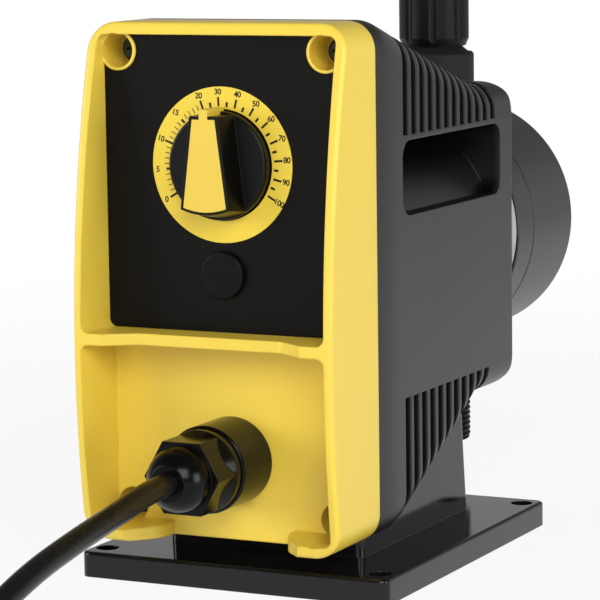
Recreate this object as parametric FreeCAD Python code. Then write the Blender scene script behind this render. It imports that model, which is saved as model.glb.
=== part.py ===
import FreeCAD, Part
import math
import os

# Diaphragm metering pump on its stand.
# The origin is the middle of the stand's four screw holes, on the underside. +Z is up, the dial
# faces -Y and the liquid end points to +Y. Lengths are in millimetres. The pump is symmetric
# about X = 0. A name that ends in _back is a distance behind the joint between the yellow cover
# and the black housing, so a negative one lies in front of that joint.

V = FreeCAD.Vector

# Clearances
slide_gap = 0.05
easy_gap = 0.3
screw_gap = 0.1

# Stand
plate_width = 118.6
plate_depth = 145.0
plate_thick = 9.0
plate_corner_r = 3.5
plate_edge_r = 1.2
plate_hole_r = 4.1
plate_hole_x = 106.0
plate_hole_y = 128.0
pedestal_half = 36.0
pedestal_flare = 2.0
pedestal_start_back = 10.0
pedestal_length = 92.0
pedestal_corner_r = 2.5
pedestal_wall = 4.0
rib_thick = 3.0
cells_across = 3
cells_along = 4
boss_r = 6.5
stand_seat = 8.0
stand_screw_r = 2.5
stand_head_r = 4.4
stand_head_tall = 3.2
stand_screw_grip = 10.0

# Outer body
parting_y = -54.6
body_half = 49.0
body_low = 17.5
body_high = 195.4
body_edge_r = 10.0
tail_edge_r = 2.5
belly_start_back = 19.3
belly_end_margin = 29.6
tail_low = 54.0
tail_high = 168.3
crest_back = 8.0
tail_start_margin = 25.9
body_length = 121.9
belly_arc_r = 25.0
tail_under_arc_r = 14.0
tail_low_corner_r = 12.0
tail_high_corner_r = 13.0
tail_over_arc_r = 30.0
crest_arc_r = 20.0

# Cooling fins and finger recesses
fin_pitch = 7.05
groove_wide = 4.5
groove_deep = 5.0
groove_start_back = 22.0
upper_groove_margin = 17.0
lower_groove_margin = 24.0
upper_groove_low = 155.2
lower_groove_high = 64.0
recess_start_back = 21.5
recess_end_margin = 12.9
recess_low = 127.3
recess_high = 153.3
recess_corner_r = 6.0

# Housing inside
bay_wall = 5.0
bay_deep = 19.0
bay_corner_r = 6.0
bulkhead_thick = 5.0
barrel_wall = 4.0
gasket_inset = 2.4
gasket_wide = 2.0
gasket_thick = 1.5
lead_hole_r = 6.0

# Front cover
front_arc_r = 410.0
front_arc_z = 82.0
front_reach = 36.8
front_edge_r = 1.5
rim_front = 2.8
rim_floor = 4.0
panel_face_back = -18.0
label_thick = 0.6
cover_wall = 3.0
panel_low = 90.0
panel_high = 191.0
panel_corner_r = 3.0
shelf_thick = 4.0
shelf_front_back = -30.0
shelf_ear_back = -36.2
shelf_flat_half = 27.0
shelf_ear_half = 37.0
recess_floor_back = -14.0
sill_thick = 3.7
notch_back_half = 23.3
notch_front_half = 33.5
notch_front_back = -31.5
notch_front_r = 18.0
notch_back_r = 16.0
screw_inset = 9.6
screw_drop = 9.8
screw_lift = 9.5
well_r = 5.9
well_rim = 1.0
well_proud = 0.7
well_floor_back = -4.5
cover_screw_r = 2.5
cover_head_r = 4.4
cover_head_tall = 3.4
cover_screw_grip = 14.0

# Dial, knob and rate control
dial_z = 147.3
scale_inner_r = 19.0
scale_outer_r = 26.5
scale_thick = 0.3
knob_r = 18.5
knob_skirt = 3.4
knob_lift = 0.7
knob_proud = 13.3
grip_top_half = 5.3
grip_low_half = 9.1
grip_top_z = 17.3
grip_low_z = -14.0
grip_low_r = 24.0
grip_flare = 1.6
knob_border = 1.05
insert_deep = 1.2
pointer_wide = 3.2
pointer_tall = 3.1
shaft_r = 3.0
bushing_r = 4.5
pot_r = 11.0
pot_deep = 9.3
pot_nut_flats = 11.0
pot_nut_thick = 2.0
shaft_tip_back = -28.0

# Blanking plug
pump_z = 109.8
blank_r = 8.2
blank_proud = 2.2
blank_hole_r = 6.0
blank_barb = 0.5
blank_edge_r = 0.8

# Control board
board_half = 34.0
board_low = 92.0
board_clear = 0.6
board_thick = 1.6
board_post_x = 29.0
board_post_r = 3.5
board_post_inset = 5.0
board_screw_r = 1.5
board_screw_head_r = 2.8
board_screw_head_tall = 1.8
board_screw_long = 6.0
terminal_wide = 28.0
terminal_tall = 10.0
terminal_deep = 9.0
terminal_inset = 2.0
capacitor_r = 8.0
capacitor_long = 16.0
capacitor_pitch = 19.0
capacitor_x = 20.0
transistor_wide = 12.0
transistor_tall = 16.0
transistor_thick = 4.6
lead_r = 1.1
lead_gap = 2.3
lead_spread = 3.2

# Cable gland
gland_z = 45.4
gland_r = 15.1
gland_length = 20.5
gland_stem_r = 10.0
gland_stem = 12.0
gland_neck_r = 11.2
gland_neck = 10.0
gland_nut_flats = 24.5
gland_nut_r = 14.3
gland_nut_long = 15.5
gland_nut_start = 1.0
gland_collar = 4.5
gland_dome = 10.0
gland_dome_r = 11.2
gland_mouth_r = 4.7
locknut_flats = 26.0
locknut_thick = 5.0
locknut_wall = 1.0

# Power cord
cord_d = 8.0
cord_mouth_back = -60.5
cord_route = [
    (0.0, -60.5, 45.4), (0.0, -72.0, 45.4), (0.3, -96.0, 41.8), (0.6, -122.0, 38.6),
    (-0.2, -149.0, 33.4), (-2.2, -174.0, 23.6), (-5.4, -197.0, 12.0), (-7.4, -213.0, 6.0),
    (-8.2, -226.0, 4.0), (-8.2, -236.0, 4.0),
]
coil_x = -56.2
coil_back = -266.0
coil_turn_r = 44.0
coil_columns = 2
coil_layers = 4
coil_stub = 30.0
tail_route = [
    (-104.2, -236.0, 28.0), (-104.2, -226.0, 28.0), (-98.0, -208.0, 20.0),
    (-92.0, -192.0, 11.5), (-92.0, -179.0, 11.5),
]
relief_long = 22.0
plug_long = 38.0
plug_wide = 27.0
plug_tall = 23.0
blade_long = 16.0
blade_wide = 6.3
blade_thick = 1.5
blade_gap = 12.7
earth_pin_r = 2.4
earth_pin_drop = 6.0

# Electromagnetic drive
can_r = 42.3
can_wall = 3.8
can_face = 6.0
end_plate_thick = 10.0
spigot = 3.0
drive_proud = 13.0
bobbin_bore_r = 12.6
bobbin_wall = 2.0
bobbin_flange = 2.5
bobbin_clear = 1.0
winding_room = 4.5
pole_long = 26.0
armature_r = 12.4
stroke = 1.8
stroke_spare = 0.3
bumper_room = 7.8
armature_shaft_r = 4.0
spring_r = 7.4
spring_wire_r = 0.9
spring_turns = 5.5
spring_pocket_r = 9.0
pole_pocket = 10.0
armature_pocket = 12.0
bumper_r = 10.0
drive_screw_ring = 30.0
drive_screw_r = 2.5
drive_head_r = 4.2
drive_head_tall = 3.0

# Liquid end
drum_r = 45.8
spacer_long = 14.9
head_long = 40.7
drum_edge_r = 1.0
diaphragm_r = 32.0
diaphragm_thick = 2.0
chamber_r = 26.0
chamber_throat_r = 18.0
chamber_deep = 3.5
insert_r = 13.0
insert_thick = 5.0
head_screw_ring = 37.2
head_screw_r = 2.5
head_head_r = 4.2
head_head_tall = 4.6
head_well_r = 5.2
head_well_deep = 6.0
head_screw_bite = 8.0

# Valve towers
tower_setback = 26.1
tower_r = 15.4
tower_rise = 66.1
tower_drop = 65.8
tower_neck_r = 11.0
tower_neck = 16.1
port_thread_r = 13.2
port_long = 20.5
port_r = 4.0
valve_r = 9.0
top_shoulder_drop = 15.9
low_shoulder_lift = 14.0
suction_cage_tall = 22.0
seat_thick = 3.0
seat_hole_r = 3.4
ball_r = 4.76
ball_lift = 2.0
ball_room_r = 6.2
cage_slot = 1.6
cage_vent = 1.5
flow_bore_r = 3.2
tube_r = 6.4
socket_deep = 7.0
coupling_r = 13.6
coupling_lift = 5.4
coupling_over = 17.0
coupling_flutes = 8
flute_r = 2.6
flute_deep = 0.9
flute_top_margin = 4.0
coupling_taper = 3.0
coupling_taper_r = 12.2
ferrule_tall = 5.0
ferrule_r = 8.6

# Places worked out from the sizes above
top = body_high
belly_end_back = body_length - belly_end_margin
tail_start_back = body_length - tail_start_margin
recess_end_back = body_length - recess_end_margin
groove_room = body_length - groove_start_back - groove_wide
upper_grooves = int((groove_room - upper_groove_margin) / fin_pitch) + 1
lower_grooves = int((groove_room - lower_groove_margin) / fin_pitch) + 1
screw_x = body_half - screw_inset
screw_high = body_high - screw_drop
screw_low = body_low + screw_lift
board_high = screw_high - well_r - well_rim - board_clear
drive_rear_back = body_length + drive_proud
tower_back = drive_rear_back + tower_setback
tower_top = pump_z + tower_rise
tower_low = pump_z - tower_drop
tower_neck_top = tower_top + tower_neck
port_low = tower_low - port_long
top_shoulder = tower_top - top_shoulder_drop
low_shoulder = tower_low + low_shoulder_lift
coupling_low = tower_top + coupling_lift
coupling_top = tower_neck_top + coupling_over
dial_face_back = panel_face_back - scale_thick
panel_back = panel_face_back + label_thick + cover_wall
panel_floor_back = panel_face_back + label_thick
barrel_r = can_r + screw_gap + barrel_wall
bore_r = can_r + screw_gap
winding_r = can_r - can_wall - winding_room
can_front_back = bay_deep + bulkhead_thick
end_plate_back = drive_rear_back - end_plate_thick
bobbin_front_back = can_front_back + can_face + bobbin_clear
bobbin_rear_back = end_plate_back - spigot
pole_face_back = bobbin_rear_back - pole_long
armature_rear_back = pole_face_back - stroke - stroke_spare
armature_front_back = can_front_back + can_face + bumper_room
spacer_rear_back = drive_rear_back + spacer_long
head_rear_back = spacer_rear_back + head_long
board_back = panel_back + pot_deep


def at(back):
    return parting_y + back


def box(x0, x1, back0, back1, z0, z1):
    return Part.makeBox(x1 - x0, back1 - back0, z1 - z0, V(x0, at(back0), z0))


def rod(r, back0, back1, z, x=0.0):
    """A cylinder that lies along Y."""
    return Part.makeCylinder(r, back1 - back0, V(x, at(back0), z), V(0, 1, 0))


def post(r, z0, z1, x, back):
    """A cylinder that stands along Z."""
    return Part.makeCylinder(r, z1 - z0, V(x, at(back), z0), V(0, 0, 1))


def turned(profile, z):
    """A solid turned about the Y direction at height z, from (radius, back) corners."""
    wire = Part.makePolygon([V(r, at(b), z) for r, b in profile + profile[:1]])
    return Part.Face(wire).revolve(V(0, 0, z), V(0, 1, 0), 360)


def turned_up(profile, back):
    """A solid turned about the Z direction at X = 0, from (radius, height) corners."""
    wire = Part.makePolygon([V(r, at(back), z) for r, z in profile + profile[:1]])
    return Part.Face(wire).revolve(V(0, at(back), 0), V(0, 0, 1), 360)


def hexagon(flats, back0, back1, z, x=0.0, turn=0.0):
    """A six-sided bar along Y, with flats at its top and bottom."""
    corner_r = flats / math.sqrt(3)
    angles = [math.radians(60 * k + turn) for k in range(7)]
    ring = [V(x + corner_r * math.cos(a), at(back0), z + corner_r * math.sin(a)) for a in angles]
    return Part.Face(Part.makePolygon(ring)).extrude(V(0, back1 - back0, 0))


def rounded_wire(corners):
    """A closed outline through (point, radius) corners, each rounded by an arc of its radius."""
    ends = []
    for i, (p, r) in enumerate(corners):
        if r == 0:
            ends.append((p, None, p))
            continue
        u = (corners[i - 1][0] - p).normalize()
        w = (corners[(i + 1) % len(corners)][0] - p).normalize()
        half = u.getAngle(w) / 2
        middle = p + (u + w).normalize() * (r / math.sin(half) - r)
        reach = r / math.tan(half)
        ends.append((p + u * reach, middle, p + w * reach))
    edges = []
    for i, (start, middle, end) in enumerate(ends):
        if middle is not None:
            edges.append(Part.Arc(start, middle, end).toShape())
        following = ends[(i + 1) % len(ends)][0]
        if (following - end).Length > 1e-6:
            edges.append(Part.LineSegment(end, following).toShape())
    return Part.Wire(edges)


def upright_wire(half, z0, z1, r, back):
    """A rounded rectangle that faces along Y."""
    corners = [(-half, z0), (half, z0), (half, z1), (-half, z1)]
    return rounded_wire([(V(x, at(back), z), r) for x, z in corners])


def slab(half, z0, z1, r, back0, back1):
    return Part.Face(upright_wire(half, z0, z1, r, back0)).extrude(V(0, back1 - back0, 0))


def flat_slab(half_x, half_y, r, z0, z1):
    corners = [(-half_x, -half_y), (half_x, -half_y), (half_x, half_y), (-half_x, half_y)]
    wire = rounded_wire([(V(x, y, z0), r) for x, y in corners])
    return Part.Face(wire).extrude(V(0, 0, z1 - z0))


def plan_prism(corners, z0, z1):
    """A prism with a flat outline of (x, back, radius) corners, standing from z0 to z1."""
    wire = rounded_wire([(V(x, at(b), z0), r) for x, b, r in corners])
    return Part.Face(wire).extrude(V(0, 0, z1 - z0))


def ring_edges(solid, pick):
    return [e for e in solid.Edges if pick(e)]


def mirrored(shapes):
    """The shapes and their copies on the other side of X = 0."""
    return shapes + [s.mirror(V(0, 0, 0), V(1, 0, 0)) for s in shapes]


def screw(r, head_r, head_tall, seat, length, axis):
    """A pan-head screw with a cross recess. Its head rests on the seat point, its shank points along axis."""
    shank = Part.makeCylinder(r, length, seat, axis)
    head = Part.makeCylinder(head_r, head_tall, seat - axis * head_tall, axis)
    crown = [e for e in head.Edges if (e.CenterOfMass - seat).Length > 0.9 * head_tall and e.isClosed()]
    crown = [e for e in crown if abs((e.CenterOfMass - seat).Length - head_tall) < 0.01]
    head = head.makeFillet(0.3 * head_tall, crown)
    side = V(1, 0, 0)
    other = axis.cross(side)
    middle = seat - axis * head_tall
    blades = []
    for u, w in ((side, other), (other, side)):
        corner = middle - u * (0.55 * head_r) - w * (0.11 * head_r)
        face = Part.Face(Part.makePolygon([
            corner, corner + u * (1.1 * head_r), corner + u * (1.1 * head_r) + w * (0.22 * head_r),
            corner + w * (0.22 * head_r), corner,
        ]))
        blades.append(face.extrude(axis * (0.55 * head_tall)))
    return head.fuse(shank).cut(blades)


def cord_wire(points):
    """Straight runs joined by arcs, each as large as its two runs allow."""
    edges = []
    radii = []
    start = points[0]
    for before, p, after in zip(points, points[1:], points[2:]):
        u = (before - p).normalize()
        w = (after - p).normalize()
        if (u + w).Length < 1e-6:
            continue
        half = u.getAngle(w) / 2
        reach = 0.45 * min((before - p).Length, (after - p).Length)
        r = reach * math.tan(half)
        middle = p + (u + w).normalize() * (r / math.sin(half) - r)
        edges.append(Part.LineSegment(start, p + u * reach).toShape())
        edges.append(Part.Arc(p + u * reach, middle, p + w * reach).toShape())
        start = p + w * reach
        radii.append(r)
    edges.append(Part.LineSegment(start, points[-1]).toShape())
    return Part.Wire(edges), radii


def cord_tube(name, points, r):
    wire, radii = cord_wire(points)
    way = points[1] - points[0]
    section = Part.Wire([Part.makeCircle(r, points[0], way)])
    tube = wire.makePipeShell([section], True, False)
    ratio = tube.Volume / (math.pi * r * r * wire.Length)
    print(name, "length %.1f" % wire.Length, "volume ratio %.4f" % ratio,
          "radii", " ".join("%.0f" % x for x in radii))
    return tube


def body_profile(inset, rear):
    """The side outline of the housing, drawn in by inset, as a solid as wide as the housing."""
    half = body_half - inset
    corners = [
        (0.0, body_low + inset, 0.0),
        (belly_start_back, body_low + inset, belly_arc_r),
        (belly_end_back, tail_low + inset, tail_under_arc_r),
        (rear, tail_low + inset, tail_low_corner_r),
        (rear, tail_high - inset, tail_high_corner_r),
        (tail_start_back, tail_high - inset, tail_over_arc_r),
        (crest_back, body_high - inset, crest_arc_r),
        (0.0, body_high - inset, 0.0),
    ]
    wire = rounded_wire([(V(-half, at(b), z), r) for b, z, r in corners])
    return Part.Face(wire).extrude(V(2 * half, 0, 0))


def body_form(inset):
    """The outer form of the housing: wide rounding along its long edges, and crisper rear edges."""
    half = body_half - inset

    def long_edge(e):
        box_ = e.BoundBox
        at_side = min(abs(box_.XMin - half), abs(box_.XMax + half)) < 0.01
        at_front = box_.YMax < at(0.01)
        return at_side and not at_front

    soft = body_profile(inset, body_length + body_edge_r)
    soft = soft.makeFillet(body_edge_r - inset, ring_edges(soft, long_edge))
    crisp = body_profile(inset, body_length)
    crisp = crisp.makeFillet(tail_edge_r, ring_edges(crisp, long_edge))
    return soft.common(crisp)


def groove_cutters():
    """The slots between the cooling fins, which follow the outer form at their own depth."""
    core = body_form(groove_deep)
    wide = body_half + 1
    cutters = []
    for k in range(upper_grooves):
        start = groove_start_back + k * fin_pitch
        slot = box(-wide, wide, start, start + groove_wide, upper_groove_low, top + 5)
        cutters.append(slot.cut(core))
    shoulder = pedestal_half + pedestal_flare
    for k in range(lower_grooves):
        start = groove_start_back + k * fin_pitch
        slot = box(shoulder, wide, start, start + groove_wide, 0, lower_groove_high).cut(core)
        cutters += mirrored([slot])
    return cutters


def finger_recess():
    """The grip recess in each side, whose back wall is the round barrel of the drive."""
    corners = [
        (recess_start_back, recess_low), (recess_end_back, recess_low),
        (recess_end_back, recess_high), (recess_start_back, recess_high),
    ]
    wide = body_half + 1
    wire = rounded_wire([(V(-wide, at(b), z), recess_corner_r) for b, z in corners])
    window = Part.Face(wire).extrude(V(2 * wide, 0, 0))
    return window.cut(rod(barrel_r, 0, body_length, pump_z))


def screw_places():
    return [(x, z) for x in (-screw_x, screw_x) for z in (screw_low, screw_high)]


def drive_screw_places():
    angles = [math.radians(90 + 120 * k) for k in range(3)]
    return [(drive_screw_ring * math.cos(a), pump_z + drive_screw_ring * math.sin(a)) for a in angles]


def make_housing():
    shell = body_form(0.0)
    bay = slab(body_half - bay_wall, body_low + bay_wall, body_high - bay_wall, bay_corner_r,
               -1, bay_deep)
    for x, z in screw_places():
        bay = bay.cut(rod(cover_head_r + 2.6, -1, bay_deep, z, x))
    cutters = [bay, rod(bore_r, can_front_back, body_length + 1, pump_z)]
    cutters += [rod(cover_screw_r + slide_gap, -1, cover_screw_grip + 1, z, x) for x, z in screw_places()]
    cutters += [rod(drive_screw_r + screw_gap, bay_deep - 1, can_front_back + 1, z, x)
                for x, z in drive_screw_places()]
    cutters.append(rod(lead_hole_r, bay_deep - 1, can_front_back + 1, pump_z))
    cutters.append(gasket_ring())
    cutters += [post(stand_screw_r + slide_gap, z - 2 * stand_screw_r, z + stand_screw_grip + 1, x, b)
                for x, b, z in stand_screw_seats(0.0)]
    cutters.append(finger_recess())
    return shell.cut(cutters + groove_cutters())


def gasket_ring():
    outer = gasket_inset - gasket_wide / 2
    inner = gasket_inset + gasket_wide / 2
    ring = slab(body_half - outer, body_low + outer, body_high - outer, body_edge_r - outer,
                0, gasket_thick)
    hole = slab(body_half - inner, body_low + inner, body_high - inner, body_edge_r - inner,
                -1, gasket_thick + 1)
    return ring.cut(hole)


def cell_size():
    across = (2 * (pedestal_half - pedestal_wall) - (cells_across - 1) * rib_thick) / cells_across
    along = (pedestal_length - 2 * pedestal_wall - (cells_along - 1) * rib_thick) / cells_along
    return across, along


def underside_z(back):
    """Height of the housing's underside on its slope."""
    slope = (tail_low - body_low) / (belly_end_back - belly_start_back)
    return body_low + slope * (back - belly_start_back)


def stand_screw_seats(drop):
    """The (x, back, z) places of the stand's screws, at the housing's underside less drop."""
    across, along = cell_size()
    x = (across + rib_thick) / 2
    first = pedestal_start_back + pedestal_wall + along + rib_thick / 2
    last = first + (cells_along - 2) * (along + rib_thick)
    return [(side * x, b, underside_z(b) - drop) for side in (-1, 1) for b in (first, last)]


def make_base_stand():
    plate = flat_slab(plate_width / 2, plate_depth / 2, plate_corner_r, 0, plate_thick)
    rim = ring_edges(plate, lambda e: e.BoundBox.ZMin > plate_thick - 0.01)
    plate = plate.makeFillet(plate_edge_r, rim)
    low = pedestal_half + pedestal_flare
    high = pedestal_half
    end_back = pedestal_start_back + pedestal_length
    outlines = []
    for half, z, spread in ((low, plate_thick - 1, pedestal_flare / 2), (high, tail_low + 2, 0.0)):
        corners = [(-half, pedestal_start_back - spread), (half, pedestal_start_back - spread),
                   (half, end_back + spread), (-half, end_back + spread)]
        outlines.append(rounded_wire([(V(x, at(b), z), pedestal_corner_r) for x, b in corners]))
    block = Part.makeLoft(outlines, True, True)
    form = body_form(0.0)
    pedestal = block.cut(form)
    cells = []
    across, along = cell_size()
    for i in range(cells_across):
        for j in range(cells_along):
            x0 = -pedestal_half + pedestal_wall + i * (across + rib_thick)
            b0 = pedestal_start_back + pedestal_wall + j * (along + rib_thick)
            cells.append(box(x0, x0 + across, b0, b0 + along, -1, tail_low))
    lowered = form.copy()
    lowered.translate(V(0, 0, -pedestal_wall))
    seats = stand_screw_seats(stand_seat)
    bosses = [post(boss_r, -2, tail_low, x, b) for x, b, z in seats]
    cells = [c.cut([lowered] + bosses) for c in cells]
    holes = [post(plate_hole_r, -1, plate_thick + 1, x, b - parting_y)
             for x in (-plate_hole_x / 2, plate_hole_x / 2) for b in (-plate_hole_y / 2, plate_hole_y / 2)]
    wells = [post(stand_head_r + easy_gap, -1, z, x, b) for x, b, z in seats]
    shanks = [post(stand_screw_r + screw_gap, z - 1, tail_low, x, b) for x, b, z in seats]
    return plate.fuse(pedestal).cut(cells + holes + wells + shanks).removeSplitter()


def make_stand_screws():
    length = stand_seat + stand_screw_grip
    return [screw(stand_screw_r, stand_head_r, stand_head_tall, V(x, at(b), z), length, V(0, 0, 1))
            for x, b, z in stand_screw_seats(stand_seat)]


def front_line(z):
    """How far in front of the joint the cover's rim stands at height z."""
    return front_arc_r - front_reach - math.sqrt(front_arc_r ** 2 - (z - front_arc_z) ** 2)


def make_front_cover():
    deep = front_reach + 3
    blank = slab(body_half, body_low, body_high, body_edge_r, -deep, 0)
    bow = Part.makeCylinder(front_arc_r, 4 * body_half, V(-2 * body_half, at(front_arc_r - front_reach), front_arc_z),
                            V(1, 0, 0))
    shell = blank.common(bow)
    rim = ring_edges(shell, lambda e: e.BoundBox.YMax < at(-20))
    shell = shell.makeFillet(front_edge_r, rim)
    floor_half = body_half - rim_floor
    front_half = body_half - rim_front
    draft = rim_floor - rim_front
    upper = Part.makeLoft([
        upright_wire(floor_half, panel_low, panel_high, panel_corner_r, panel_floor_back),
        upright_wire(front_half, panel_low, panel_high + draft, panel_corner_r, -deep),
    ], True, True)
    lower = Part.makeLoft([
        upright_wire(floor_half, body_low + sill_thick + draft, panel_low - shelf_thick, panel_corner_r,
                     recess_floor_back),
        upright_wire(front_half, body_low + sill_thick, panel_low - shelf_thick, panel_corner_r, -deep),
    ], True, True)
    shelf_gap = plan_prism([
        (-shelf_ear_half, -deep - 1, 0), (-shelf_ear_half, shelf_ear_back, 2.0),
        (-shelf_flat_half, shelf_front_back, 5.0), (shelf_flat_half, shelf_front_back, 5.0),
        (shelf_ear_half, shelf_ear_back, 2.0), (shelf_ear_half, -deep - 1, 0),
    ], panel_low - shelf_thick - 0.5, panel_low + 0.5)
    notch = plan_prism([
        (-notch_front_half - 3, -deep - 1, 0), (-notch_front_half, notch_front_back, notch_front_r),
        (-notch_back_half, notch_front_back + 9, notch_back_r), (-notch_back_half, recess_floor_back, 0),
        (notch_back_half, recess_floor_back, 0), (notch_back_half, notch_front_back + 9, notch_back_r),
        (notch_front_half, notch_front_back, notch_front_r), (notch_front_half + 3, -deep - 1, 0),
    ], body_low - 1, body_low + sill_thick + draft + 1)
    inner_half = body_half - rim_floor
    inside_low = body_low + rim_floor
    inside_high = body_high - rim_floor
    behind_panel = slab(inner_half, panel_low - shelf_thick, inside_high, body_edge_r - rim_floor,
                        panel_back, 1)
    behind_recess = slab(inner_half, inside_low, panel_low + shelf_thick, body_edge_r - rim_floor,
                         recess_floor_back + cover_wall, 1)
    shell = shell.cut([upper, lower, shelf_gap, notch, behind_panel, behind_recess])
    tubes = []
    for x, z in screw_places():
        front = panel_face_back - well_proud if z > panel_low else recess_floor_back
        tubes.append(rod(well_r + well_rim, front, 0, z, x))
    tubes = [t.common(slab(body_half - 1, body_low + 1, body_high - 1, body_edge_r - 1, -deep, 0)) for t in tubes]
    posts = [rod(board_post_r, panel_back, board_back, z, x) for x, z in board_post_places()]
    shell = shell.fuse(tubes + posts)
    wells = [rod(well_r, -deep - 1, well_floor_back, z, x) for x, z in screw_places()]
    shanks = [rod(cover_screw_r + 2 * screw_gap, -deep, 1, z, x) for x, z in screw_places()]
    holes = [
        rod(bushing_r + screw_gap, -deep, 0, dial_z),
        rod(blank_hole_r, -deep, 0, pump_z),
        rod(gland_stem_r + screw_gap, -deep, 0, gland_z),
    ]
    holes += [rod(board_screw_r, board_back + board_thick - board_screw_long, board_back + 1, z, x)
              for x, z in board_post_places()]
    return shell.cut(wells + shanks + holes).removeSplitter()


def make_cover_screws():
    length = cover_screw_grip - well_floor_back
    return [screw(cover_screw_r, cover_head_r, cover_head_tall, V(x, at(well_floor_back), z), length, V(0, 1, 0))
            for x, z in screw_places()]


def make_panel_label():
    half = body_half - rim_floor - screw_gap
    sheet = slab(half, panel_low + screw_gap, panel_high - screw_gap, panel_corner_r - screw_gap,
                 panel_face_back, panel_floor_back)
    cuts = [rod(well_r + well_rim + screw_gap, -front_reach, 0, screw_high, x) for x in (-screw_x, screw_x)]
    cuts.append(rod(bushing_r + screw_gap, -front_reach, 0, dial_z))
    cuts.append(rod(blank_hole_r, -front_reach, 0, pump_z))
    return sheet.cut(cuts)


def make_dial_scale():
    ring = rod(scale_outer_r, dial_face_back, panel_face_back, dial_z)
    return ring.cut(rod(scale_inner_r, -front_reach, 0, dial_z))


def grip_wire(top_half, low_half, top_z, low_z, back):
    """The outline of the knob's bar: a tapered bar whose lower end is an arc."""
    a = V(-low_half, at(back), dial_z + low_z)
    b = V(low_half, at(back), dial_z + low_z)
    sag = grip_low_r - math.sqrt(grip_low_r ** 2 - low_half ** 2)
    lowest = V(0, at(back), dial_z + low_z - sag)
    c = V(top_half, at(back), dial_z + top_z)
    d = V(-top_half, at(back), dial_z + top_z)
    return Part.Wire([
        Part.Arc(a, lowest, b).toShape(), Part.LineSegment(b, c).toShape(),
        Part.LineSegment(c, d).toShape(), Part.LineSegment(d, a).toShape(),
    ])


def make_knob_insert():
    """The yellow inlay in the knob's face, with the pointer that runs back to the scale."""
    face_back = panel_face_back - knob_proud
    wire = grip_wire(grip_top_half - knob_border, grip_low_half - knob_border, grip_top_z - knob_border,
                     grip_low_z + knob_border / 2, face_back)
    inlay = Part.Face(wire).extrude(V(0, insert_deep, 0))
    half = pointer_wide / 2
    pointer = box(-half, half, face_back, panel_face_back - knob_lift - scale_thick,
                  dial_z + grip_top_z - knob_border - 0.5, dial_z + grip_top_z + pointer_tall - 0.8)
    return inlay.fuse(pointer).removeSplitter()


def make_knob_body():
    face_back = panel_face_back - knob_proud
    base_back = dial_face_back - knob_lift + scale_thick
    skirt_back = base_back - knob_skirt
    skirt = rod(knob_r, skirt_back, base_back, dial_z)
    rim = ring_edges(skirt, lambda e: e.BoundBox.YMax < at(skirt_back + 0.01))
    skirt = skirt.makeFillet(1.0, rim)
    grip = Part.makeLoft([
        grip_wire(grip_top_half, grip_low_half, grip_top_z, grip_low_z, face_back),
        grip_wire(grip_top_half + grip_flare, grip_low_half + grip_flare, grip_top_z, grip_low_z - 1.2,
                  skirt_back + 1.2),
    ], True, True)
    grip = grip.common(rod(knob_r, face_back - 1, base_back, dial_z))
    hub_room = rod(pot_nut_flats / math.sqrt(3) + 1.0, base_back - pot_nut_thick - 0.8, base_back + 1, dial_z)
    bore = rod(shaft_r, shaft_tip_back, base_back + 1, dial_z)
    return skirt.fuse(grip).cut([hub_room, bore, make_knob_insert()])


def make_potentiometer():
    body = rod(pot_r, panel_back, board_back, dial_z)
    bushing = rod(bushing_r, panel_face_back - pot_nut_thick - 0.2, panel_back + 1, dial_z)
    return body.fuse(bushing).cut(rod(shaft_r + slide_gap, -40, board_back - 1.5, dial_z))


def make_potentiometer_nut():
    nut = hexagon(pot_nut_flats, panel_face_back - pot_nut_thick, panel_face_back, dial_z)
    return nut.cut(rod(bushing_r + slide_gap, -40, 0, dial_z))


def make_potentiometer_shaft():
    return rod(shaft_r, shaft_tip_back, board_back - 2.0, dial_z)


def make_blanking_plug():
    head = rod(blank_r, panel_face_back - blank_proud, panel_face_back, pump_z)
    rim = ring_edges(head, lambda e: e.BoundBox.YMax < at(panel_face_back - blank_proud + 0.01))
    head = head.makeFillet(blank_edge_r, rim)
    stem_r = blank_hole_r - slide_gap
    stem = turned([
        (0, panel_face_back - 0.5), (stem_r, panel_face_back - 0.5), (stem_r, panel_back + 0.05),
        (stem_r + blank_barb, panel_back + 0.05), (stem_r - blank_barb, panel_back + 1.6), (0, panel_back + 1.6),
    ], pump_z)
    return head.fuse(stem)


def board_post_places():
    heights = (board_low + board_post_inset, board_high - board_post_inset)
    return [(x, z) for x in (-board_post_x, board_post_x) for z in heights]


def make_control_board():
    board = box(-board_half, board_half, board_back, board_back + board_thick, board_low, board_high)
    holes = [rod(board_screw_r + screw_gap, board_back - 1, board_back + board_thick + 1, z, x)
             for x, z in board_post_places()]
    return board.cut(holes)


def make_board_screws():
    seat = board_back + board_thick
    return [screw(board_screw_r, board_screw_head_r, board_screw_head_tall, V(x, at(seat), z), board_screw_long,
                  V(0, -1, 0)) for x, z in board_post_places()]


terminal_low = board_low + terminal_inset
terminal_high = terminal_low + terminal_tall


def make_board_parts():
    """Terminal block, two capacitors and the power transistor on the back of the board."""
    seat = board_back + board_thick
    terminal = box(-terminal_wide / 2, terminal_wide / 2, seat, seat + terminal_deep, terminal_low, terminal_high)
    middle = (board_low + board_high) / 2 + capacitor_pitch
    capacitors = [rod(capacitor_r, seat, seat + capacitor_long, z, capacitor_x)
                  for z in (middle, middle - capacitor_pitch)]
    transistor = box(-capacitor_x - transistor_wide / 2, -capacitor_x + transistor_wide / 2, seat,
                     seat + transistor_thick, middle - transistor_tall / 2, middle + transistor_tall / 2)
    return [terminal] + capacitors + [transistor]


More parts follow.
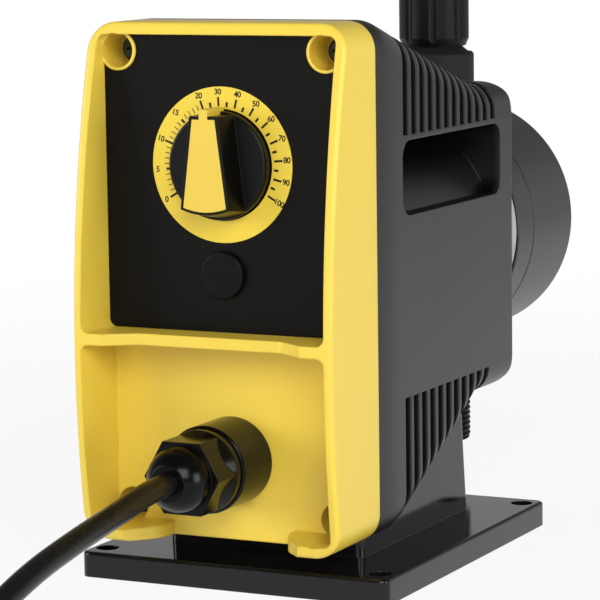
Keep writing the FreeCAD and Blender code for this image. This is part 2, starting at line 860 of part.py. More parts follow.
def make_gland_body():
    wall = recess_floor_back
    front = wall - gland_length
    body = turned([
        (0, front - gland_neck), (gland_neck_r, front - gland_neck), (gland_neck_r, front),
        (gland_r - 0.6, front), (gland_r, front + 0.6), (gland_r, wall), (gland_stem_r, wall),
        (gland_stem_r, wall + gland_stem), (0, wall + gland_stem),
    ], gland_z)
    seal_room = rod(gland_neck_r - 2.2, front - gland_neck - 1, front - gland_neck + 5, gland_z)
    return body.cut([rod(cord_d / 2 + slide_gap, front - 20, wall + gland_stem + 1, gland_z), seal_room])


def make_gland_nut():
    """The dome nut: a round collar, six flats in front of it, and a dome with the cord's mouth."""
    rear = recess_floor_back - gland_length - gland_nut_start
    face = rear - gland_nut_long
    mouth = face - gland_dome
    blank = rod(gland_nut_r, face, rear, gland_z)
    flats = hexagon(gland_nut_flats, face, rear, gland_z)
    collar = turned([
        (0, rear), (gland_nut_r, rear), (gland_nut_r, rear - gland_collar * 0.6),
        (gland_nut_flats / 2, rear - gland_collar - 2.0), (0, rear - gland_collar - 2.0),
    ], gland_z)
    body = blank.common(flats.fuse(collar))
    start = V(gland_dome_r, at(face), gland_z)
    middle = V(gland_dome_r * 0.93, at(face - gland_dome * 0.52), gland_z)
    end = V(gland_mouth_r + 1.6, at(mouth), gland_z)
    crest = Part.Wire([
        Part.Arc(start, middle, end).toShape(),
        Part.LineSegment(end, V(0, at(mouth), gland_z)).toShape(),
        Part.LineSegment(V(0, at(mouth), gland_z), V(0, at(face + 1), gland_z)).toShape(),
        Part.LineSegment(V(0, at(face + 1), gland_z), V(gland_dome_r, at(face + 1), gland_z)).toShape(),
        Part.LineSegment(V(gland_dome_r, at(face + 1), gland_z), start).toShape(),
    ])
    dome = Part.Face(crest).revolve(V(0, 0, gland_z), V(0, 1, 0), 360)
    thread_end = rear - gland_neck - 1.0
    hollow = rod(gland_neck_r + slide_gap, thread_end, rear + 1, gland_z)
    squeeze = rod(cord_d / 2 + 3.0, thread_end - 5.0, thread_end + 1, gland_z)
    mouth_hole = rod(cord_d / 2 + slide_gap, mouth - 1, rear, gland_z)
    return body.fuse(dome).cut([hollow, squeeze, mouth_hole])


def make_gland_seal():
    front = recess_floor_back - gland_length
    r = cord_d / 2 + slide_gap
    ring = rod(gland_neck_r - 2.3, front - gland_neck + 0.0, front - gland_neck + 5.0, gland_z)
    nose = rod(cord_d / 2 + 2.9, front - gland_neck - 5.5, front - gland_neck, gland_z)
    return ring.fuse(nose).cut(rod(r, front - 30, front, gland_z))


def make_gland_locknut():
    seat = recess_floor_back + cover_wall
    nut = hexagon(locknut_flats, seat, seat + locknut_thick, gland_z)
    return nut.cut(rod(gland_stem_r + slide_gap, seat - 1, seat + locknut_thick + 1, gland_z))


def make_cord_tail():
    """The end of the cord's sheath, from the gland's mouth into the wiring space."""
    return rod(cord_d / 2, cord_mouth_back, recess_floor_back + gland_stem + 3.0, gland_z)


def make_mains_leads():
    """Three conductors, from the sheath up to the terminal block on the board."""
    start = recess_floor_back + gland_stem + 3.0
    seat = board_back + board_thick + terminal_deep
    leads = []
    for spread, reach in ((-lead_gap, 12.0), (0.0, 14.5), (lead_gap, 12.0)):
        x = lead_spread * spread
        points = [
            V(spread, at(start), gland_z), V(spread, at(start + reach - 4), gland_z),
            V(spread, at(start + reach), gland_z + 6), V(x, at(start + reach), terminal_low - 16),
            V(x, at(start + reach), terminal_low + 3), V(x, at(seat + 2), terminal_high - 4),
            V(x, at(seat), terminal_high - 4),
        ]
        leads.append(cord_tube("mains lead", points, lead_r))
    return leads


def make_drive_leads():
    """The coil's two leads, from the board through the bulkhead to the bobbin."""
    seat = board_back + board_thick
    return [rod(0.9, seat, bobbin_front_back, pump_z, x) for x in (-3.0, 3.0)]


def cord_points(route):
    return [V(x, at(b), z) for x, b, z in route]


def make_power_cord():
    return cord_tube("power cord", cord_points(cord_route), cord_d / 2)


def make_plug_tail():
    return cord_tube("plug tail", cord_points(tail_route), cord_d / 2)


def make_cord_coil():
    """The put-away length as one ring of turns, with a stub where the cord goes in and out."""
    outer = coil_turn_r + cord_d * coil_columns / 2
    inner = coil_turn_r - cord_d * coil_columns / 2
    tall = cord_d * coil_layers
    ring = post(outer, 0, tall, coil_x, coil_back).cut(post(inner, -1, tall + 1, coil_x, coil_back))
    edges = ring_edges(ring, lambda e: e.isClosed() and e.Length > 1 and e.BoundBox.ZLength < 0.01)
    ring = ring.makeFillet(cord_d * 0.4, edges)
    turn = outer - cord_d / 2
    way_in = rod(cord_d / 2, coil_back, coil_back + coil_stub, cord_d / 2, coil_x + turn)
    way_out = rod(cord_d / 2, coil_back, coil_back + coil_stub, tall - cord_d / 2, coil_x - turn)
    return ring.fuse([way_in, way_out])


def make_power_plug():
    """A moulded plug: a ribbed, tapered relief and a body with finger hollows."""
    x, b, z = tail_route[-1]
    relief = Part.makeCone(cord_d / 2 + 0.8, cord_d / 2 + 4.0, relief_long, V(x, at(b), z), V(0, 1, 0))
    rings = [rod(cord_d / 2 + 3.0, b + 4.0 + 4.4 * k, b + 6.4 + 4.4 * k, z, x) for k in range(4)]
    half_w = plug_wide / 2
    half_t = plug_tall / 2
    outlines = []
    for share, back in ((0.62, b + relief_long - 2.0), (1.0, b + relief_long + 12.0),
                        (1.0, b + relief_long + plug_long)):
        corners = [(-half_w * share, -half_t * share), (half_w * share, -half_t * share),
                   (half_w * share, half_t * share), (-half_w * share, half_t * share)]
        outlines.append(rounded_wire([(V(x + u, at(back), z + w), 5.0 * share) for u, w in corners]))
    body = Part.makeLoft(outlines, True, True)
    return relief.fuse(rings + [body])


def make_plug_blades():
    x, b, z = tail_route[-1]
    face = b + relief_long + plug_long
    half = blade_wide / 2
    blades = [box(x + side * blade_gap / 2 - blade_thick / 2, x + side * blade_gap / 2 + blade_thick / 2,
                  face, face + blade_long, z + 2.0 - half, z + 2.0 + half) for side in (-1, 1)]
    pin = rod(earth_pin_r, face, face + blade_long + 3.0, z - earth_pin_drop, x)
    tip = [e for e in pin.Edges if e.BoundBox.YMin > at(face + blade_long) and e.isClosed() and e.BoundBox.YLength < 0.01]
    return blades + [pin.makeFillet(earth_pin_r * 0.7, tip)]


def make_drive_can():
    can = rod(can_r, can_front_back, end_plate_back, pump_z)
    hollow = rod(can_r - can_wall, can_front_back + can_face, end_plate_back + 1, pump_z)
    cuts = [rod(drive_screw_r, can_front_back - 1, can_front_back + can_face + 1, z, x)
            for x, z in drive_screw_places()]
    cuts.append(rod(lead_hole_r - 1.0, can_front_back - 1, can_front_back + can_face + 1, pump_z))
    return can.cut([hollow] + cuts)


def make_drive_screws():
    return [screw(drive_screw_r, drive_head_r, drive_head_tall, V(x, at(bay_deep), z),
                  bulkhead_thick + can_face, V(0, 1, 0)) for x, z in drive_screw_places()]


def head_screw_places():
    angles = [math.radians(45 + 90 * k) for k in range(4)]
    return [(head_screw_ring * math.cos(a), pump_z + head_screw_ring * math.sin(a)) for a in angles]


bushing_wall = 2.5


def make_end_plate():
    plate = rod(can_r, end_plate_back, drive_rear_back, pump_z)
    register = rod(can_r - can_wall - slide_gap, end_plate_back - spigot, end_plate_back + 1, pump_z)
    cuts = [rod(armature_shaft_r + bushing_wall, end_plate_back - spigot - 1, drive_rear_back + 1, pump_z)]
    cuts += [rod(head_screw_r, drive_rear_back - head_screw_bite - 0.5, drive_rear_back + 1, z, x)
             for x, z in head_screw_places()]
    return plate.fuse(register).cut(cuts).removeSplitter()


def make_shaft_bushing():
    outer = rod(armature_shaft_r + bushing_wall, end_plate_back - spigot, drive_rear_back, pump_z)
    return outer.cut(rod(armature_shaft_r + slide_gap, end_plate_back - spigot - 1, drive_rear_back + 1, pump_z))


def make_coil_bobbin():
    tube_r = bobbin_bore_r + bobbin_wall
    flange_r = can_r - can_wall - easy_gap
    front = bobbin_front_back
    rear = bobbin_rear_back
    return turned([
        (bobbin_bore_r, front), (flange_r, front), (flange_r, front + bobbin_flange),
        (tube_r, front + bobbin_flange), (tube_r, rear - bobbin_flange), (flange_r, rear - bobbin_flange),
        (flange_r, rear), (bobbin_bore_r, rear),
    ], pump_z)


def make_coil_winding():
    front = bobbin_front_back + bobbin_flange
    rear = bobbin_rear_back - bobbin_flange
    return rod(winding_r, front, rear, pump_z).cut(
        rod(bobbin_bore_r + bobbin_wall, front - 1, rear + 1, pump_z))


def make_pole_piece():
    pole = rod(bobbin_bore_r - slide_gap, pole_face_back, bobbin_rear_back, pump_z)
    pocket = rod(spring_pocket_r, pole_face_back - 1, pole_face_back + pole_pocket, pump_z)
    hole = rod(armature_shaft_r + 0.6, pole_face_back - 1, bobbin_rear_back + 1, pump_z)
    return pole.cut([pocket, hole])


def make_armature():
    slug = rod(armature_r, armature_front_back, armature_rear_back, pump_z)
    pocket = rod(spring_pocket_r, armature_rear_back - armature_pocket, armature_rear_back + 1, pump_z)
    socket = rod(armature_shaft_r, armature_rear_back - armature_pocket - 14.0,
                 armature_rear_back, pump_z)
    return slug.cut([pocket, socket])


def make_armature_bumper():
    seat = can_front_back + can_face
    stem = rod(lead_hole_r + 2.0, seat, bobbin_front_back, pump_z)
    pad = rod(bumper_r, seat, armature_front_back - screw_gap, pump_z)
    bore = [rod(1.3, seat - 1, armature_front_back + 1, pump_z, x) for x in (-3.0, 3.0)]
    return pad.fuse(stem).cut(bore)


def make_armature_shaft():
    start = armature_rear_back - armature_pocket - 14.0
    end = spacer_rear_back - diaphragm_thick - screw_gap
    return rod(armature_shaft_r, start, end, pump_z)


def make_return_spring():
    start = armature_rear_back - armature_pocket + spring_wire_r + screw_gap
    end = pole_face_back + pole_pocket - spring_wire_r - screw_gap
    pitch = (end - start) / spring_turns
    helix = Part.makeHelix(pitch, end - start, spring_r)
    section = Part.Wire([Part.makeCircle(spring_wire_r, V(spring_r, 0, 0), V(0, 1, 0))])
    coil = Part.Wire(helix).makePipeShell([section], True, True)
    coil.rotate(V(0, 0, 0), V(1, 0, 0), -90)
    coil.translate(V(0, at(start), pump_z))
    return coil


def make_spacer_ring():
    front = drive_rear_back
    rear = spacer_rear_back
    ring = rod(drum_r, front, rear, pump_z)
    rims = ring_edges(ring, lambda e: e.isClosed() and e.BoundBox.YLength < 0.01)
    ring = ring.makeFillet(drum_edge_r * 0.6, rims)
    cuts = [
        rod(diaphragm_r + screw_gap, rear - diaphragm_thick, rear + 1, pump_z),
        rod(chamber_r, front + 3.0, rear, pump_z),
        rod(armature_shaft_r + 1.0, front - 1, rear, pump_z),
    ]
    cuts += [rod(head_screw_r + screw_gap, front - 1, rear + 1, z, x) for x, z in head_screw_places()]
    return ring.cut(cuts)


def make_diaphragm():
    return rod(diaphragm_r, spacer_rear_back - diaphragm_thick, spacer_rear_back, pump_z)


def make_diaphragm_insert():
    rear = spacer_rear_back - diaphragm_thick - screw_gap
    disc = rod(insert_r, rear - insert_thick, rear, pump_z)
    return disc.cut(rod(armature_shaft_r, rear - insert_thick - 1, rear + 1, pump_z))


def make_pump_head():
    """The moulded liquid end: a drum with a valve tower above it and another below."""
    front = spacer_rear_back
    rear = head_rear_back
    drum = rod(drum_r, front, rear, pump_z)
    rims = ring_edges(drum, lambda e: e.isClosed() and e.BoundBox.YLength < 0.01)
    drum = drum.makeFillet(drum_edge_r, rims)
    upper = turned_up([
        (0, pump_z + chamber_r), (tower_r, pump_z + chamber_r), (tower_r, tower_top - 0.8),
        (tower_r - 0.8, tower_top), (tower_neck_r + 2.4, tower_top), (tower_neck_r, tower_top + 2.0),
        (tower_neck_r, tower_neck_top), (0, tower_neck_top),
    ], tower_back)
    lower = turned_up([
        (0, pump_z - chamber_r), (tower_r, pump_z - chamber_r), (tower_r, tower_low + 0.8),
        (tower_r - 0.8, tower_low), (0, tower_low),
    ], tower_back)
    over_spacer = rod(drum_r + easy_gap, drive_rear_back - 5, front, pump_z)
    towers = [t.cut(over_spacer) for t in (upper, lower)]
    dish = turned([
        (0, front - 1), (chamber_r, front - 1), (chamber_r, front),
        (chamber_throat_r, front + chamber_deep), (0, front + chamber_deep),
    ], pump_z)
    reach = chamber_throat_r - port_r - 1
    cuts = [
        dish,
        post(valve_r + slide_gap, top_shoulder, tower_neck_top + 1, 0, tower_back),
        post(valve_r + slide_gap, tower_low - 1, low_shoulder, 0, tower_back),
        post(port_r, pump_z + reach - port_r, top_shoulder + 1, 0, tower_back),
        post(port_r, low_shoulder - 1, pump_z - reach + port_r, 0, tower_back),
        rod(port_r - 0.5, front, tower_back, pump_z + reach),
        rod(port_r - 0.5, front, tower_back, pump_z - reach),
        rod(drum_r * 0.42, rear - 2.0, rear + 1, pump_z),
    ]
    cuts += [rod(head_screw_r + screw_gap, front - 1, rear, z, x) for x, z in head_screw_places()]
    cuts += [rod(head_well_r, rear - head_well_deep, rear + 1, z, x) for x, z in head_screw_places()]
    return drum.fuse(towers).cut(cuts)


def make_suction_port():
    """The threaded port under the lower tower, at its thread's outer size."""
    port = turned_up([
        (0, tower_low), (port_thread_r, tower_low), (port_thread_r, port_low + 0.8),
        (port_thread_r - 0.8, port_low), (0, port_low),
    ], tower_back)
    return port.cut(post(valve_r + slide_gap, port_low - 1, tower_low + 1, 0, tower_back))


def make_head_screws():
    seat = head_rear_back - head_well_deep
    length = seat - (drive_rear_back - head_screw_bite)
    return [screw(head_screw_r, head_head_r, head_head_tall, V(x, at(seat), z), length, V(0, -1, 0))
            for x, z in head_screw_places()]


def make_seat(z):
    """A valve seat ring whose upper edge is cut to a cone that the ball closes."""
    return turned_up([
        (seat_hole_r, z), (valve_r, z), (valve_r, z + seat_thick), (seat_hole_r, z + seat_thick),
    ], tower_back)


def ball_centre(seat_top):
    return seat_top + math.sqrt(ball_r ** 2 - seat_hole_r ** 2) + 0.02


def make_ball(seat_top):
    return Part.makeSphere(ball_r, V(0, at(tower_back), ball_centre(seat_top)))


def make_cage(seat_top, cage_top):
    """A cage over the seat: room for the ball to lift, and slots that stay open above it."""
    room_top = ball_centre(seat_top) + ball_r + ball_lift + 0.15
    cage = post(valve_r, seat_top, cage_top, 0, tower_back)
    arm = ball_room_r - 0.3
    slots = [
        box(-arm, arm, tower_back - cage_slot / 2, tower_back + cage_slot / 2, room_top - 1, room_top + cage_vent),
        box(-cage_slot / 2, cage_slot / 2, tower_back - arm, tower_back + arm, room_top - 1, room_top + cage_vent),
    ]
    return cage.cut([
        post(ball_room_r, seat_top - 1, room_top, 0, tower_back),
        post(flow_bore_r, room_top - 1, cage_top + 1, 0, tower_back),
    ] + slots)


def make_discharge_cage():
    """The cage over the discharge ball, with the socket that the tube's end stops in."""
    cage = make_cage(top_shoulder + seat_thick, tower_neck_top)
    return cage.cut(post(tube_r, tower_neck_top - socket_deep, tower_neck_top + 1, 0, tower_back))


suction_seat_z = low_shoulder - suction_cage_tall - seat_thick


def make_suction_retainer():
    """The threaded ring that holds the suction seat up against its cage."""
    ring = post(valve_r, port_low + 1.5, suction_seat_z, 0, tower_back)
    return ring.cut(post(flow_bore_r + 0.8, port_low - 1, suction_seat_z + 1, 0, tower_back))


def make_tube_ferrule():
    ring = post(ferrule_r, tower_neck_top, tower_neck_top + ferrule_tall, 0, tower_back)
    return ring.cut(post(tube_r, tower_neck_top - 1, tower_neck_top + ferrule_tall + 1, 0, tower_back))


def make_coupling_nut():
    """The tube coupling's nut, tapered at its lower end, over the tower's thread."""
    low = coupling_low - coupling_taper
    inner_r = tower_neck_r + slide_gap
    ferrule_top = tower_neck_top + ferrule_tall + slide_gap
    nut = turned_up([
        (inner_r, low), (coupling_taper_r, low), (coupling_r, coupling_low), (coupling_r, coupling_top - 1.5),
        (coupling_r - 1.5, coupling_top), (tube_r, coupling_top), (tube_r, ferrule_top),
        (ferrule_r + slide_gap, ferrule_top), (ferrule_r + slide_gap, tower_neck_top + slide_gap),
        (inner_r, tower_neck_top + slide_gap),
    ], tower_back)
    flutes = []
    for k in range(coupling_flutes):
        angle = 2 * math.pi * (k + 0.5) / coupling_flutes
        reach = coupling_r + flute_r - flute_deep
        flute = post(flute_r, low - 1, coupling_top - flute_top_margin, reach * math.cos(angle),
                     tower_back + reach * math.sin(angle))
        flutes.append(flute)
    return nut.cut(flutes)


discharge_seat_top = top_shoulder + seat_thick
suction_seat_top = suction_seat_z + seat_thick

nodes = {
    "base_stand": make_base_stand,
    "stand_screws": make_stand_screws,
    "housing": make_housing,
    "cover_gasket": gasket_ring,
    "front_cover": make_front_cover,
    "cover_screws": make_cover_screws,
    "panel_label": make_panel_label,
    "dial_scale": make_dial_scale,
    "knob_body": make_knob_body,
    "knob_insert": make_knob_insert,
    "potentiometer": make_potentiometer,
    "potentiometer_nut": make_potentiometer_nut,
    "potentiometer_shaft": make_potentiometer_shaft,
    "blanking_plug": make_blanking_plug,
    "control_board": make_control_board,
    "board_screws": make_board_screws,
    "board_parts": make_board_parts,
    "gland_body": make_gland_body,
    "gland_nut": make_gland_nut,
    "gland_seal": make_gland_seal,
    "gland_locknut": make_gland_locknut,
    "cord_tail": make_cord_tail,
    "mains_leads": make_mains_leads,
    "drive_leads": make_drive_leads,
    "power_cord": make_power_cord,
    "cord_coil": make_cord_coil,
    "plug_tail": make_plug_tail,
    "power_plug": make_power_plug,
    "plug_blades": make_plug_blades,
    "drive_can": make_drive_can,
    "drive_screws": make_drive_screws,
    "end_plate": make_end_plate,
    "shaft_bushing": make_shaft_bushing,
    "coil_bobbin": make_coil_bobbin,
    "coil_winding": make_coil_winding,
    "pole_piece": make_pole_piece,
    "armature": make_armature,
    "armature_bumper": make_armature_bumper,
    "armature_shaft": make_armature_shaft,
    "return_spring": make_return_spring,
    "spacer_ring": make_spacer_ring,
    "diaphragm": make_diaphragm,
    "diaphragm_insert": make_diaphragm_insert,
    "pump_head": make_pump_head,
    "suction_port": make_suction_port,
    "head_screws": make_head_screws,
    "discharge_seat": lambda: make_seat(top_shoulder),
    "discharge_ball": lambda: make_ball(discharge_seat_top),
    "discharge_cage": make_discharge_cage,
    "suction_retainer": make_suction_retainer,
    "suction_seat": lambda: make_seat(suction_seat_z),
    "suction_ball": lambda: make_ball(suction_seat_top),
    "suction_cage": lambda: make_cage(suction_seat_top, low_shoulder),
    "tube_ferrule": make_tube_ferrule,
    "coupling_nut": make_coupling_nut,
}

os.makedirs("parts", exist_ok=True)
for name, make in nodes.items():
    made = make()
    shape = Part.makeCompound(made) if isinstance(made, list) else made
    if not shape.isValid() or not shape.Solids:
        print("check this piece:", name)
    print("%-20s solids %d faces %d volume %.0f" % (name, len(shape.Solids), len(shape.Faces), shape.Volume))
    shape.exportStep("parts/" + name + ".step")
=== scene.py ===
"""A diaphragm metering pump on its stand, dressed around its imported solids."""

import math

import bmesh
import bpy
from mathutils import Matrix, Vector


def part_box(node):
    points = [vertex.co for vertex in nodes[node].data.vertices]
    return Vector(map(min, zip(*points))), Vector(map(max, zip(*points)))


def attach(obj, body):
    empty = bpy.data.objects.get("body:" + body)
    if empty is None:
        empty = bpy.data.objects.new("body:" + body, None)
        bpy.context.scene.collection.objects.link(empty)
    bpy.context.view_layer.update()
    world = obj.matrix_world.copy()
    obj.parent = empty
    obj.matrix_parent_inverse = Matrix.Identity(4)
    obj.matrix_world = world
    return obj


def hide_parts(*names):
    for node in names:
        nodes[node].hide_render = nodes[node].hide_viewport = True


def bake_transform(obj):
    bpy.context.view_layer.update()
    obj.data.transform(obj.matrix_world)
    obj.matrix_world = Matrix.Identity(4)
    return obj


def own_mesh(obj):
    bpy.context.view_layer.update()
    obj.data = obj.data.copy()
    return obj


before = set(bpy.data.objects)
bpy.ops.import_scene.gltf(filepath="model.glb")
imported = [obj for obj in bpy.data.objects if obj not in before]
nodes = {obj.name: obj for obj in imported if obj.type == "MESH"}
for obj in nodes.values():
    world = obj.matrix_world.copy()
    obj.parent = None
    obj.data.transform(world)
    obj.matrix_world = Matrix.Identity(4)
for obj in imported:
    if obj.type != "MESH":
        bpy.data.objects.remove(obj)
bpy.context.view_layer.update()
scene = bpy.context.scene


# The view: a long lens, a little above the pump and to the right of its dial, as in the
# photograph. Its angles were fitted to the edges of the cover, the housing and the stand.
MM = 0.001
PARTING_Y = -54.6


def at(x, back, z):
    """A point in metres from millimetres: back is measured behind the cover's joint."""
    return Vector((x * MM, (PARTING_Y + back) * MM, z * MM))


VIEW_TURN = math.radians(26.338)
VIEW_DOWN = math.radians(7.827)
VIEW_ROLL = math.radians(0.806)
EYE = at(471.23, -914.86, 239.25)
ahead = Vector((
    -math.sin(VIEW_TURN) * math.cos(VIEW_DOWN),
    math.cos(VIEW_TURN) * math.cos(VIEW_DOWN),
    -math.sin(VIEW_DOWN),
))
level = Vector((math.cos(VIEW_TURN), math.sin(VIEW_TURN), 0))
below = ahead.cross(level)
right = level * math.cos(VIEW_ROLL) + below * math.sin(VIEW_ROLL)
down = below * math.cos(VIEW_ROLL) - level * math.sin(VIEW_ROLL)
lens = bpy.data.cameras.new("photo_lens")
lens.sensor_width = 36.0
lens.lens = 180.47
lens.shift_x = 0.0059
lens.shift_y = 0.0043
lens.clip_end = 20.0
camera = bpy.data.objects.new("photo_camera", lens)
turn = Matrix((right, -down, -ahead)).transposed().to_4x4()
camera.matrix_world = Matrix.Translation(EYE) @ turn
scene.collection.objects.link(camera)
scene.camera = camera
scene.view_settings.view_transform = "Standard"


# The power cord: a round three-core cord in a satin black sheath, about 1.8 m long. It leaves the
# gland towards the front, sinks to the floor at the left, and is put away in a round coil of
# 5.5 turns in four layers. The plug is moulded on its far end.
CORD_D = 8.0
GLAND_EXIT = (0.0, -60.5, 45.4)
cord_route = [
    GLAND_EXIT, (0.0, -72.0, 45.4), (0.3, -96.0, 41.8), (0.6, -122.0, 38.6),
    (-0.2, -149.0, 33.4), (-2.2, -174.0, 23.6), (-5.4, -197.0, 12.0), (-7.4, -213.0, 6.0),
    (-8.2, -226.0, 4.0), (-8.2, -236.0, 4.0), (-8.2, -256.0, 4.0),
]
tail_route = [
    (-104.2, -256.0, 28.0), (-104.2, -236.0, 28.0), (-104.2, -226.0, 28.0), (-98.0, -208.0, 20.0),
    (-92.0, -192.0, 11.5), (-92.0, -179.0, 11.5),
]
COIL_X = -56.2
COIL_BACK = -266.0
COIL_TURNS = 5.5
STEPS_A_TURN = 16
# The coil's course: turns done, then the radius and the height of the cord's middle. It winds
# in and out through four layers, and steps up at the inner and the outer edge.
coil_stages = [
    (0.0, 48.0, 4.0), (1.0, 40.0, 4.0), (1.25, 36.6, 8.0), (1.5, 40.0, 12.0), (2.5, 48.0, 12.0),
    (2.75, 51.4, 16.0), (3.0, 48.0, 20.0), (4.0, 40.0, 20.0), (4.25, 36.6, 24.0), (4.5, 40.0, 28.0),
    (5.5, 48.0, 28.0),
]


def between(stages, t):
    """The values at t, in a straight line between the two stages around it."""
    for (t0, *low), (t1, *high) in zip(stages, stages[1:]):
        if t <= t1:
            share = (t - t0) / (t1 - t0)
            return [a + (b - a) * share for a, b in zip(low, high)]
    return high


def coil_points():
    """Control points of the turns, set a little wide because the line runs inside them."""
    widen = 1 / math.cos(math.pi / STEPS_A_TURN) ** 0.5
    points = []
    for k in range(1, round(COIL_TURNS * STEPS_A_TURN)):
        radius, height = between(coil_stages, k / STEPS_A_TURN)
        angle = -2 * math.pi * k / STEPS_A_TURN
        points.append((COIL_X + widen * radius * math.cos(angle),
                       COIL_BACK + widen * radius * math.sin(angle), height))
    return points


def smooth_line(name, points, radius_mm):
    """A round cord along one smooth line whose control points are the given ones."""
    curve = bpy.data.curves.new(name, "CURVE")
    curve.dimensions = "3D"
    spline = curve.splines.new("NURBS")
    spline.points.add(len(points) - 1)
    for knot, point in zip(spline.points, points):
        knot.co = (*at(*point), 1)
    spline.order_u = 3
    spline.use_endpoint_u = True
    spline.resolution_u = 8
    curve.bevel_depth = radius_mm * MM
    curve.bevel_resolution = 6
    curve.use_fill_caps = True
    piece = bpy.data.objects.new(name, curve)
    scene.collection.objects.link(piece)
    return piece


class Wire:
    """An output of a material's node. Arithmetic on it adds the Math nodes."""

    def __init__(self, tree, socket):
        self.tree = tree
        self.socket = socket

    def node(self, kind, values=None, out=0, **settings):
        """Adds a node of that kind, sets it up, fills its sockets and gives one of its outputs."""
        made = self.tree.nodes.new("ShaderNode" + kind)
        for name, value in settings.items():
            setattr(made, name, value)
        for key, value in (values or {}).items():
            if isinstance(value, Wire):
                self.tree.links.new(value.socket, made.inputs[key])
            else:
                made.inputs[key].default_value = value
        return Wire(self.tree, made.outputs[out])

    def math(self, operation, *others, flipped=False):
        """A Math node on this wire and the others, in the opposite order if flipped."""
        values = [self, *others]
        if flipped:
            values.reverse()
        return self.node("Math", dict(enumerate(values)), operation=operation)

    def __add__(self, other):
        return self.math("ADD", other)

    def __radd__(self, other):
        return self.math("ADD", other, flipped=True)

    def __sub__(self, other):
        return self.math("SUBTRACT", other)

    def __rsub__(self, other):
        return self.math("SUBTRACT", other, flipped=True)

    def __mul__(self, other):
        return self.math("MULTIPLY", other)

    def __rmul__(self, other):
        return self.math("MULTIPLY", other, flipped=True)

    def ramp(self, low, high):
        """0 below low, 1 above high, and smooth between."""
        return self.node("MapRange", {"Value": self, "From Min": low, "From Max": high},
                         interpolation_type="SMOOTHSTEP")

    def band(self, low, high, soft):
        """1 between low and high, fading to 0 over soft on either side."""
        return self.ramp(low - soft, low + soft) * (1 - self.ramp(high - soft, high + soft))

    def noise(self, size_mm, detail=3.0, roughness=0.55):
        """Cloudy values from 0 to 1 whose lumps have that size. The wire is a place."""
        return self.node("TexNoise", {"Vector": self, "Scale": 1 / (size_mm * MM),
                                      "Detail": detail, "Roughness": roughness})

    def axis(self, index):
        """One coordinate of a place: 0 across the pump, 1 from front to rear, 2 upwards."""
        return self.node("SeparateXYZ", {"Vector": self}, out=index)

    def stretched(self, scales):
        """A place with each of its coordinates multiplied by a scale."""
        return self.node("VectorMath", {0: self, 1: scales}, operation="MULTIPLY")


def tint(mask, low, high):
    """A colour between two colours, by a mask from 0 to 1."""
    low, high = (c if isinstance(c, Wire) else (*c, 1) for c in (low, high))
    return mask.node("Mix", {0: mask, 6: low, 7: high}, out=2, data_type="RGBA")


def finish(name, **values):
    """A material with plain values on its shader. Gives the material and the wire of the place."""
    material = bpy.data.materials.new(name)
    material.use_nodes = True
    shader = material.node_tree.nodes["Principled BSDF"]
    for key, value in values.items():
        shader.inputs[key.replace("_", " ")].default_value = value
    place = material.node_tree.nodes.new("ShaderNodeTexCoord")
    return material, Wire(material.node_tree, place.outputs["Object"])


def join(material, **wires):
    """Links wires to the sockets of the material's shader that have their names."""
    shader = material.node_tree.nodes["Principled BSDF"]
    for key, wire in wires.items():
        material.node_tree.links.new(wire.socket, shader.inputs[key.replace("_", " ")])


def relief(place, height, depth_mm, edge_mm=0.0):
    """A normal for a height map in units of depth_mm, with the edges rounded by edge_mm."""
    values = {"Height": height, "Distance": depth_mm * MM, "Strength": 1.0}
    if edge_mm:
        values["Normal"] = place.node("Bevel", {"Radius": edge_mm * MM}, samples=6)
    return place.node("Bump", values)


def wear_on(names, material):
    """Gives the solids of those nodes the material."""
    for name in names:
        nodes[name].data.materials.clear()
        nodes[name].data.materials.append(material)


cord_sheath, place = finish("cord_sheath", Specular_IOR_Level=0.3)
lay = place.noise(1.4)
dusty = place.noise(14).ramp(0.45, 0.75)
join(cord_sheath,
     Base_Color=tint(dusty, (0.005, 0.0049, 0.0048), (0.008, 0.0078, 0.0075)),
     Roughness=0.27 + dusty * 0.06 + (lay - 0.5) * 0.06,
     Normal=relief(place, lay, 0.008))

cord = smooth_line("cord_line", cord_route + coil_points() + tail_route, CORD_D / 2)
cord.data.materials.append(cord_sheath)
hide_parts("power_cord", "cord_coil", "plug_tail")
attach(cord, "pump")
wear_on(["cord_tail"], cord_sheath)


# The plug: moulded on the cord in the same compound, a little duller, with rings that let its
# relief bend. Its two blades and its earth pin are brass.
def shade(colour, share):
    """The colour, darker or lighter by a share."""
    return tuple(c * share for c in colour)


def moulded(name, colour, roughness, grain_mm, grain_depth, edge_mm=0.35, cloud=0.06, dust=0.0,
            **values):
    """Moulded plastic: an even colour with faint flow clouds, a fine grain and softened edges."""
    material, place = finish(name, **values)
    clouds = place.noise(38, 2.0)
    grain = place.noise(grain_mm, 2.0, 0.6)
    rubbed = place.noise(5.0, 4.0, 0.7).ramp(0.56, 0.8)
    join(material,
         Base_Color=tint(clouds, shade(colour, 1 - cloud), shade(colour, 1 + cloud)),
         Roughness=roughness + (clouds - 0.5) * 0.06 + (grain - 0.5) * 0.1 + rubbed * dust,
         Normal=relief(place, grain, grain_depth, edge_mm))
    return material


def machined(name, colour, roughness, lines=(1, 1, 1)):
    """Machined metal with an uneven polish. Its tool lines run along the axis with the low scale."""
    material, place = finish(name, Metallic=1.0)
    marks = place.stretched(lines).noise(0.6)
    haze = place.noise(9)
    join(material,
         Base_Color=tint(haze, shade(colour, 0.9), shade(colour, 1.06)),
         Roughness=roughness + (marks - 0.5) * 0.16 + (haze - 0.5) * 0.1,
         Normal=relief(place, marks, 0.004, 0.15))
    return material


